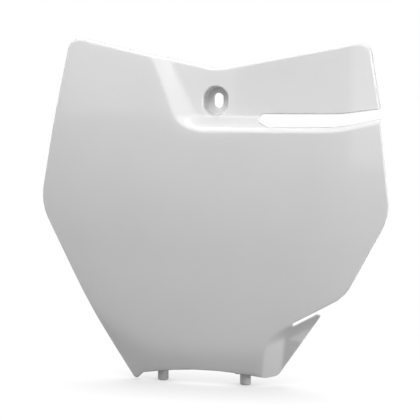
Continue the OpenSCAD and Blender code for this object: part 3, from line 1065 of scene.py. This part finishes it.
@dataclass
class ScrewCup:
    """The screw's cup behind the recess: its wall, its ribs, its hollow and its slot."""

    form: BoardForm
    mouth_w: float = 17.9
    seat_w: float = 16.4
    extra: float = 2.8
    slot_w: float = 6.5
    slot_h: float = 10.5
    mouth_round: float = 1.2
    seat_fillet: float = 0.8
    root_fillet: float = 1.4
    rim_round: float = 0.5
    slot_round: float = 0.35
    past: float = 0.6
    funnel: tuple[tuple[float, float], ...] = ((4.0, -6.0), (0.6, -0.8))
    rib_t: float = 2.0
    rib_reach: float = 15.0
    rib_bevel: float = 0.3
    sides: int = 72

    def ring(self, half: float, extra: float, depth: float,
             tilt: float) -> list[tuple[float, float, float]]:
        """A stadium-shaped ring across the cup.

        Args:
            half: Half of its width.
            extra: Its height beyond its width.
            depth: Distance behind the recess's floor.
            tilt: 1 where it lies along the leaning floor, 0 where it is square to the screw.

        Returns:
            The ring's points.
        """
        points = []
        for k in range(self.sides):
            q = 2 * math.pi * (k + 0.5) / self.sides
            x = half * math.cos(q)
            z = half * math.sin(q) + math.copysign(extra / 2, math.sin(q))
            flat = -self.form.cup_depth
            leaning = mix(flat, self.form.floor_y(x, z), tilt)
            points.append((x, leaning + depth, z))
        return points

    def half_at(self, depth: float) -> float:
        """Half of the cup's inner width at a depth behind the floor."""
        return mix(self.mouth_w, self.seat_w, depth / self.form.cup_depth) / 2

    def hollow(self) -> bpy.types.Object:
        """Makes the cup's hollow, with a round at its mouth and a fillet at its seat.

        Returns:
            The hollow as a solid, which opens out in front of the floor.
        """
        depth, r, f, extra = self.form.cup_depth, self.mouth_round, self.seat_fillet, self.extra
        mouth = rounding(range(12, 91, 13))
        first = self.half_at(0) + r * mouth[0][1]
        rings = [self.ring(first + out, extra, along, 1) for out, along in self.funnel]
        rings += [self.ring(self.half_at(r * rise) + r * fall, extra, r * rise, 1)
                  for rise, fall in mouth]
        for share in (0.25, 0.5, 0.75):
            along = mix(r, depth - f, share)
            rings.append(self.ring(self.half_at(along), extra, along, 1 - share))
        for rise, fall in rounding(range(0, 91, 15)):
            along = depth - f * fall
            rings.append(self.ring(self.half_at(along) - f * rise, extra, along, 0))
        return loft("cup_hollow", rings)

    def slot(self) -> bpy.types.Object:
        """Makes the screw slot through the seat, with its edges slightly rounded.

        Returns:
            The slot as a solid.
        """
        depth, wall, r, past = self.form.cup_depth, self.form.wall, self.slot_round, self.past
        half, extra = self.slot_w / 2, self.slot_h - self.slot_w
        edge = rounding((15, 45, 90))
        rings = [self.ring(half + r + past, extra, depth - past, 0)]
        rings += [self.ring(half + r * fall, extra, depth + r * rise, 0) for rise, fall in edge]
        rings += [self.ring(half + r * fall, extra, depth + wall - r * rise, 0)
                  for rise, fall in reversed(edge)]
        rings.append(self.ring(half + r + past, extra, depth + wall + past, 0))
        return loft("screw_slot", rings)

    def wall(self) -> bpy.types.Object:
        """Makes the cup's outer wall, flared where it leaves the floor's back.

        Returns:
            The wall as a full solid, without its hollow.
        """
        wall, depth, r, extra = self.form.wall, self.form.cup_depth, self.root_fillet, self.extra
        rings = [self.ring(self.half_at(wall) + wall + r, extra, wall / 2, 1)]
        for rise, fall in rounding(range(12, 91, 13)):
            along = wall + r * rise
            rings.append(self.ring(self.half_at(along) + wall + r * fall, extra, along, 1))
        for share in (0.3, 0.6):
            along = mix(wall + r, depth, share)
            rings.append(self.ring(self.half_at(along) + wall, extra, along, 1 - share))
        end, e = depth + wall, self.rim_round
        rings += [self.ring(self.half_at(depth) + wall - e * rise, extra, end - e * fall, 0)
                  for rise, fall in rounding(range(0, 91, 18))]
        return loft("cup_wall", rings)

    def ribs(self) -> list[bpy.types.Object]:
        """Makes the ribs beside and above the cup.

        Returns:
            The rib across both sides and the rib above.
        """
        form, t, reach, half = self.form, self.rib_t / 2, self.rib_reach, self.mouth_w / 2
        front, back = form.wall / 2, form.wall
        side_y = form.floor_y(reach, 0) + front
        low = [(-reach, side_y), (reach, side_y), (reach, side_y + back), (half, -back),
               (-half, -back), (-reach, side_y + back)]
        top = (self.mouth_w + self.extra) / 2 + form.wall + back
        top_y = form.floor_y(0, top) + front
        high = [(form.floor_y(0, 0) + front, 0), (top_y, top), (top_y + back, top),
                (-back, half), (-back, 0)]
        return [slab("rib_across", low, -t, t, 2, self.rib_bevel),
                slab("rib_above", high, -t, t, 0, self.rib_bevel)]


@dataclass
class PegMount:
    """A locating peg on its shelf behind the lower edge, with a gusset at each side."""

    form: BoardForm
    x: float
    y: float
    radius: float
    drop: float = 196.2
    bevel: float = 0.6
    soften: float = 0.15
    top_bevel: float = 0.4
    top_soften: float = 0.12
    fillet: float = 0.5
    hidden: float = 0.3
    shelf_w: float = 13.0
    gusset_h: float = 20.0
    gap: float = 0.5
    shelf_up: float = 2.6
    rib_t: float = 2.0
    rib_bevel: float = 0.25
    rib_inset: float = 0.05
    rib_steps: int = 5
    sides: int = 48

    def ring(self, radius: float, z: float) -> list[tuple[float, float, float]]:
        """A round ring across the peg."""
        return [(self.x + radius * math.cos(q), self.y + radius * math.sin(q), z)
                for q in np.linspace(0, 2 * math.pi, self.sides, endpoint=False)]

    def peg(self) -> bpy.types.Object:
        """Makes the peg, with a bevelled end and a fillet under its shelf.

        Returns:
            The peg as a solid that runs up into its shelf.
        """
        foot = -self.form.arch_drop + self.shelf_up
        top = foot + 2 * self.form.wall
        r, b, f, s = self.radius, self.bevel, self.fillet, self.soften
        rings = [self.ring(r - b, -self.drop), self.ring(r - s, -self.drop + b * (1 - s)),
                 self.ring(r, -self.drop + b * (1 + 2 * s)), self.ring(r, foot - f)]
        rings += [self.ring(r + f * rise, foot - f * fall) for rise, fall in rounding((25, 50, 75))]
        rings += [self.ring(r + f, foot + self.hidden), self.ring(r, foot + 2 * self.hidden),
                  self.ring(r, top - self.top_bevel),
                  self.ring(r - self.top_soften, top - self.top_soften),
                  self.ring(r - self.top_bevel, top)]
        return loft("peg", rings)

    def seat(self, z: float) -> tuple[float, float]:
        """The middle of the board's wall behind the edge, at height z."""
        return self.form.skin_y(self.x, z) + self.form.wall / 2, z

    def carriers(self) -> list[bpy.types.Object]:
        """Makes the shelf and its two gussets.

        Returns:
            The three plates.
        """
        wall, bevel = self.form.wall, self.rib_bevel
        foot = -self.form.arch_drop + self.shelf_up
        rear = self.y + self.radius + self.gap
        base = self.seat(foot)
        shelf = [(base[0], foot + wall / 2), (base[0] + wall / 2, foot), (rear, foot),
                 (rear, foot + wall), self.seat(foot + wall)]
        steps = np.linspace(foot, foot + self.gusset_h, self.rib_steps)[1:]
        side = [(rear, foot + wall / 2), (rear, foot + wall),
                *[self.seat(z) for z in reversed(steps)], (base[0], foot + wall / 2)]
        half = self.shelf_w / 2
        made = [slab("shelf", shelf, self.x - half, self.x + half, 0, bevel)]
        for way in (-1, 1):
            middle = self.x + way * (self.shelf_w - self.rib_t) / 2
            low, high = middle - self.rib_t / 2, middle + self.rib_t / 2
            made.append(slab("gusset", side, low + self.rib_inset, high - self.rib_inset, 0, bevel))
        return made


# Finishes


def linear(code: str) -> tuple[float, float, float, float]:
    """Turns an sRGB hex colour into Blender's linear values.

    Args:
        code: The colour, such as #ffffff.

    Returns:
        Red, green, blue and alpha.
    """
    parts = [int(code[i:i + 2], 16) / 255 for i in (1, 3, 5)]
    steps = [c / 12.92 if c <= 0.04045 else ((c + 0.055) / 1.055) ** 2.4 for c in parts]
    return (*steps, 1.0)


@dataclass(frozen=True)
class MouldedPolypropylene:
    """Polypropylene moulded in a polished tool: a clean gloss over a faint flow texture.

    The gloss is soft, because the polymer shrinks a little as it cools, and the eye sees
    that as slightly wavy edges in wide reflections.
    """

    light: str = "#e8e8e8"
    shade: str = "#e3e3e3"
    ior: float = 1.49
    roughness: float = 0.04
    roughness_range: float = 0.01
    flow_mm: float = 38.0
    peel_mm: float = 0.9
    peel_height_mm: float = 0.0012
    wave_mm: float = 26.0
    wave_height_mm: float = 0.04

    def build(self) -> bpy.types.Material:
        """Makes the material.

        Returns:
            The material with its node tree.
        """
        material = bpy.data.materials.new("moulded_polypropylene")
        tree = empty_tree(material)
        place = add_node(tree, "ShaderNodeTexCoord").outputs["Object"]
        flow, wave, peel = (
            add_node(tree, "ShaderNodeTexNoise", {
                "Vector": place, "Scale": 1 / (size * MM), "Detail": detail}).outputs["Fac"]
            for size, detail in (
                (self.flow_mm, 2.0), (self.wave_mm, 1.0), (self.peel_mm, 2.0)))
        tint = add_node(tree, "ShaderNodeMix", {
            "Factor": flow, 6: linear(self.shade), 7: linear(self.light)}, data_type="RGBA")
        gloss = add_node(tree, "ShaderNodeMapRange", {
            "Value": flow, "To Min": self.roughness - self.roughness_range,
            "To Max": self.roughness + self.roughness_range})
        broad = add_node(tree, "ShaderNodeBump", {
            "Height": wave, "Distance": self.wave_height_mm * MM})
        fine = add_node(tree, "ShaderNodeBump", {
            "Height": peel, "Distance": self.peel_height_mm * MM, "Normal": broad.outputs[0]})
        shader = add_node(tree, "ShaderNodeBsdfPrincipled", {
            "Base Color": tint.outputs[2], "Roughness": gloss.outputs[0], "IOR": self.ior,
            "Normal": fine.outputs[0]})
        add_node(tree, "ShaderNodeOutputMaterial", [shader.outputs[0]])
        return material


@dataclass(frozen=True)
class PaperFloor:
    """Matt paper: white further off, with a faint shadow and a painted contact shade kept near.

    It throws light back as a small pale sheet under the object does, and little from beyond; where
    parts lie close above, that sheet is painted near black, a painted shade in the bounced light.
    """

    seen_colour: str = "#606060"
    sheet_colour: str = "#b4b4b4"
    # Painted shade: the near-black colour the pale sheet takes for bounced light where ambient
    # occlusion finds parts close by.
    painted_shade_colour: str = "#101010"
    beyond_colour: str = "#3c3c3c"
    # Ambient occlusion range over which the painted shade gives way to the pale sheet.
    painted_shade_ao_range: tuple[float, float] = (0.35, 0.9)
    sheet_m: tuple[float, float] = (0.07, 0.14)
    near_glow: float = 0.93
    glow_m: tuple[float, float] = (0.23, 0.57)
    # Painted contact shade: how far the ambient occlusion looks, and how dim the glow gets where it
    # is fully occluded.
    painted_shade_reach_m: float = 0.06
    painted_shade_least_glow: float = 0.45

    def build(self) -> bpy.types.Material:
        """Makes the material.

        Returns:
            The material with its node tree.
        """
        material = bpy.data.materials.new("paper_floor")
        tree = empty_tree(material)
        path = add_node(tree, "ShaderNodeLightPath")
        seen = add_node(tree, "ShaderNodeMath", [
            path.outputs["Is Camera Ray"], path.outputs["Is Glossy Ray"]], operation="MAXIMUM")
        place = add_node(tree, "ShaderNodeTexCoord").outputs["Object"]
        flat = add_node(tree, "ShaderNodeVectorMath", [place, (1, 1, 0)], operation="MULTIPLY")
        distance = add_node(tree, "ShaderNodeVectorMath", [flat.outputs[0]], operation="LENGTH")
        glow = add_node(tree, "ShaderNodeMapRange", {
            "Value": distance.outputs["Value"], "From Min": self.glow_m[0],
            "From Max": self.glow_m[1], "To Min": self.near_glow, "To Max": 1.0},
            interpolation_type="SMOOTHSTEP")
        # Ambient occlusion that drives both painted shades below: in the glow and in the bounced
        # colour.
        painted_shade_ao = add_node(tree, "ShaderNodeAmbientOcclusion", {"Distance": self.painted_shade_reach_m})
        # Painted contact shade: the floor's glow is dimmed where parts lie close above it.
        painted_contact_shade = add_node(tree, "ShaderNodeMapRange", {
            "Value": painted_shade_ao.outputs["AO"], "To Min": self.painted_shade_least_glow, "To Max": 1.0})
        level = seen.outputs[0]
        for factor in (glow, painted_contact_shade):
            level = add_node(tree, "ShaderNodeMath", [level, factor.outputs[0]],
                             operation="MULTIPLY").outputs[0]
        beyond = add_node(tree, "ShaderNodeMapRange", {
            "Value": distance.outputs["Value"], "From Min": self.sheet_m[0],
            "From Max": self.sheet_m[1]}, interpolation_type="SMOOTHSTEP")
        # Painted shade in the bounced light: the pale sheet turns near black where the ambient
        # occlusion is low.
        painted_shade_open_share = add_node(tree, "ShaderNodeMapRange", {
            "Value": painted_shade_ao.outputs["AO"], "From Min": self.painted_shade_ao_range[0],
            "From Max": self.painted_shade_ao_range[1]})
        colour = linear(self.painted_shade_colour)
        for share, code in ((painted_shade_open_share, self.sheet_colour), (beyond, self.beyond_colour),
                            (seen, self.seen_colour)):
            colour = add_node(tree, "ShaderNodeMix", {
                "Factor": share.outputs[0], 6: colour, 7: linear(code)},
                data_type="RGBA").outputs[2]
        paper = add_node(tree, "ShaderNodeBsdfDiffuse", {"Color": colour})
        light = add_node(tree, "ShaderNodeEmission", {"Strength": level})
        both = add_node(tree, "ShaderNodeAddShader", [paper.outputs[0], light.outputs[0]])
        add_node(tree, "ShaderNodeOutputMaterial", [both.outputs[0]])
        return material


# Assembly and studio


@dataclass
class NumberBoard:
    """The whole moulding, built from its form."""

    form: BoardForm
    mounts: dict[str, dict]
    smooth_angle: float = 32.0
    least_edge: float = 0.03
    least_height: float = 0.01

    def build(self, finish: bpy.types.Material) -> bpy.types.Object:
        """Builds the board and gives it its finish.

        Args:
            finish: The material.

        Returns:
            The finished piece.
        """
        plan = Plan(self.form).build()
        PressTree(self.form).build(plan, finish)
        board = settled(plan, "board")
        self.face_outwards(board)
        for name in (SHARE, OFFSET):
            board.data.attributes.remove(board.data.attributes[name])
        cup = ScrewCup(self.form)
        added = cup.wall()
        others = cup.ribs()
        for mount in (self.mounts["peg_left"], self.mounts["peg_right"]):
            x, y, _ = (v / MM for v in mount["pos_m"])
            carrier = PegMount(self.form, x, y, mount["dims"]["r_mm"])
            others += [*carrier.carriers(), carrier.peg()]
        for other in others:
            added = cut(added, other, Cut.JOIN)
        board = cut(board, added, Cut.JOIN)
        board = cut(board, cut(cup.hollow(), cup.slot(), Cut.JOIN), Cut.TAKE)
        self.clear_slivers(board)
        board.name = board.data.name = PIECE
        board.data.materials.clear()
        board.data.materials.append(finish)
        for polygon in board.data.polygons:
            polygon.material_index = 0
            polygon.use_smooth = True
        board.data.set_sharp_from_angle(angle=math.radians(self.smooth_angle))
        LOG.info("board: %d faces", len(board.data.polygons))
        return board

    def clear_slivers(self, board: bpy.types.Object) -> None:
        """Merges the tiny edges and takes out the lone points that joining pieces leaves.

        Args:
            board: The joined board.
        """
        bm = bmesh.new()
        bm.from_mesh(board.data)
        bmesh.ops.remove_doubles(bm, verts=bm.verts, dist=self.least_edge * MM)
        bmesh.ops.dissolve_degenerate(bm, edges=bm.edges, dist=self.least_height * MM)
        lone = [v for v in bm.verts if len(v.link_edges) == 2]
        bmesh.ops.dissolve_verts(bm, verts=lone)
        bm.to_mesh(board.data)
        bm.free()

    @staticmethod
    def face_outwards(board: bpy.types.Object) -> None:
        """Turns every face of a closed mesh outwards.

        Args:
            board: The closed board.
        """
        bm = bmesh.new()
        bm.from_mesh(board.data)
        open_edges = sum(not e.is_manifold for e in bm.edges)
        bmesh.ops.recalc_face_normals(bm, faces=bm.faces)
        bm.to_mesh(board.data)
        bm.free()
        LOG.info("shell: %d open edges", open_edges)


@dataclass(frozen=True)
class Softbox:
    """A rectangular studio lamp."""

    name: str
    place: tuple[float, float, float]
    aim: tuple[float, float, float]
    size: tuple[float, float]
    power: float
    spread: float = 180.0

    def build(self) -> None:
        """Puts the lamp in the scene."""
        lamp = bpy.data.lights.new(self.name, "AREA")
        lamp.shape = "RECTANGLE"
        lamp.size, lamp.size_y = self.size
        lamp.energy = self.power
        lamp.spread = math.radians(self.spread)
        holder = add_object(self.name, lamp)
        place, aim = Vector(self.place), Vector(self.aim)
        holder.location = place
        holder.rotation_mode = "QUATERNION"
        holder.rotation_quaternion = (aim - place).to_track_quat("-Z", "Y")


@dataclass
class Studio:
    """The floor, lamps, white surroundings and camera."""

    floor_z: float
    floor_half: float = 30.0
    azimuth: float = 11.309
    elevation: float = 6.976
    roll: float = 0.808
    distance: float = 1.107
    lens: float = 137.5
    clip: tuple[float, float] = (0.05, 200.0)
    target: tuple[float, float, float] = (0.00139, -0.03277, -0.07394)
    surroundings: float = 0.05
    mirrored: float = 0.6
    lamps: tuple[Softbox, ...] = (
        Softbox("top_box", (0.0, -0.32, 0.36), (0.0, -0.03, 0.06), (0.5, 0.3), 0.218, 52.0),
        Softbox("top_left_box", (-0.3, -0.30, 0.36), (-0.05, -0.03, 0.05), (0.3, 0.3), 0.101,
                60.0),
        Softbox("rear_box", (0.0, 0.20, 0.50), (0.0, -0.01, 0.0), (0.7, 0.2), 0.85, 90.0),
        Softbox("right_box", (0.70, -0.10, 0.07), (0.1, 0.0, -0.04), (0.3, 0.5), 0.45, 60.0),
        Softbox("left_box", (-0.70, -0.30, 0.30), (-0.05, -0.03, 0.0), (0.4, 0.5), 0.182, 60.0),
        Softbox("middle_right_box", (0.6, -0.40, 0.20), (0.10, -0.03, -0.03), (0.3, 0.4), 0.043,
                60.0),
        Softbox("left_window", (-0.62, -1.20, 0.61), (-0.62, 0.0, 0.61), (0.9, 0.9), 2.5),
        Softbox("right_window", (0.62, -1.11, 0.50), (0.115, -0.03, -0.045), (0.6, 0.9), 2.1),
    )

    def build(self) -> None:
        """Builds the studio round the object."""
        self.build_floor()
        self.build_surroundings()
        self.build_camera()
        for lamp in self.lamps:
            lamp.build()
        bpy.context.scene.view_settings.view_transform = "Standard"
        LOG.info("studio: %d lamps", len(self.lamps))

    def build_floor(self) -> None:
        """A wide floor just under the object."""
        bm = bmesh.new()
        bmesh.ops.create_grid(bm, x_segments=1, y_segments=1, size=self.floor_half)
        mesh = bpy.data.meshes.new("floor")
        bm.to_mesh(mesh)
        bm.free()
        mesh.transform(Matrix.Translation((0, 0, self.floor_z)))
        mesh.materials.append(PaperFloor().build())
        add_object("floor", mesh)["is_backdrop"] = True

    def build_surroundings(self) -> None:
        """A world that is white where it is seen, and softer as a light."""
        world = bpy.data.worlds.new("surroundings")
        bpy.context.scene.world = world
        tree = empty_tree(world)
        path = add_node(tree, "ShaderNodeLightPath")
        mirrored = add_node(tree, "ShaderNodeMapRange", {
            "Value": path.outputs["Is Glossy Ray"], "To Min": self.surroundings,
            "To Max": self.mirrored})
        level = add_node(tree, "ShaderNodeMath", [
            path.outputs["Is Camera Ray"], mirrored.outputs[0]], operation="MAXIMUM")
        sky = add_node(tree, "ShaderNodeBackground", {
            "Color": linear("#ffffff"), "Strength": level.outputs[0]})
        add_node(tree, "ShaderNodeOutputWorld", [sky.outputs[0]])

    def build_camera(self) -> None:
        """A long lens at the photograph's angle."""
        a, e = math.radians(self.azimuth), math.radians(self.elevation)
        back = Vector((math.sin(a) * math.cos(e), -math.cos(a) * math.cos(e), math.sin(e)))
        data = bpy.data.cameras.new("camera")
        data.lens = self.lens
        data.clip_start, data.clip_end = self.clip
        camera = add_object("camera", data)
        turn = (-back).to_track_quat("-Z", "Y").to_matrix().to_4x4()
        roll = Matrix.Rotation(math.radians(self.roll), 4, "Z")
        place = Matrix.Translation(Vector(self.target) + back * self.distance)
        camera.matrix_world = place @ turn @ roll
        bpy.context.scene.camera = camera


def main() -> None:
    """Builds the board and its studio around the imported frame."""
    logging.basicConfig(level=logging.INFO, format="%(name)s %(message)s")
    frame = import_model()
    cad_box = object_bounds()
    mounts = {m["name"]: m for m in frame["record"]["mounts"]}
    board = NumberBoard(BoardForm(), mounts).build(MouldedPolypropylene().build())
    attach(board, "root")
    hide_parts(NODE)
    Studio(floor_z=cad_box[0].z - FLOOR_GAP_M).build()


if __name__ == "__main__":
    main()
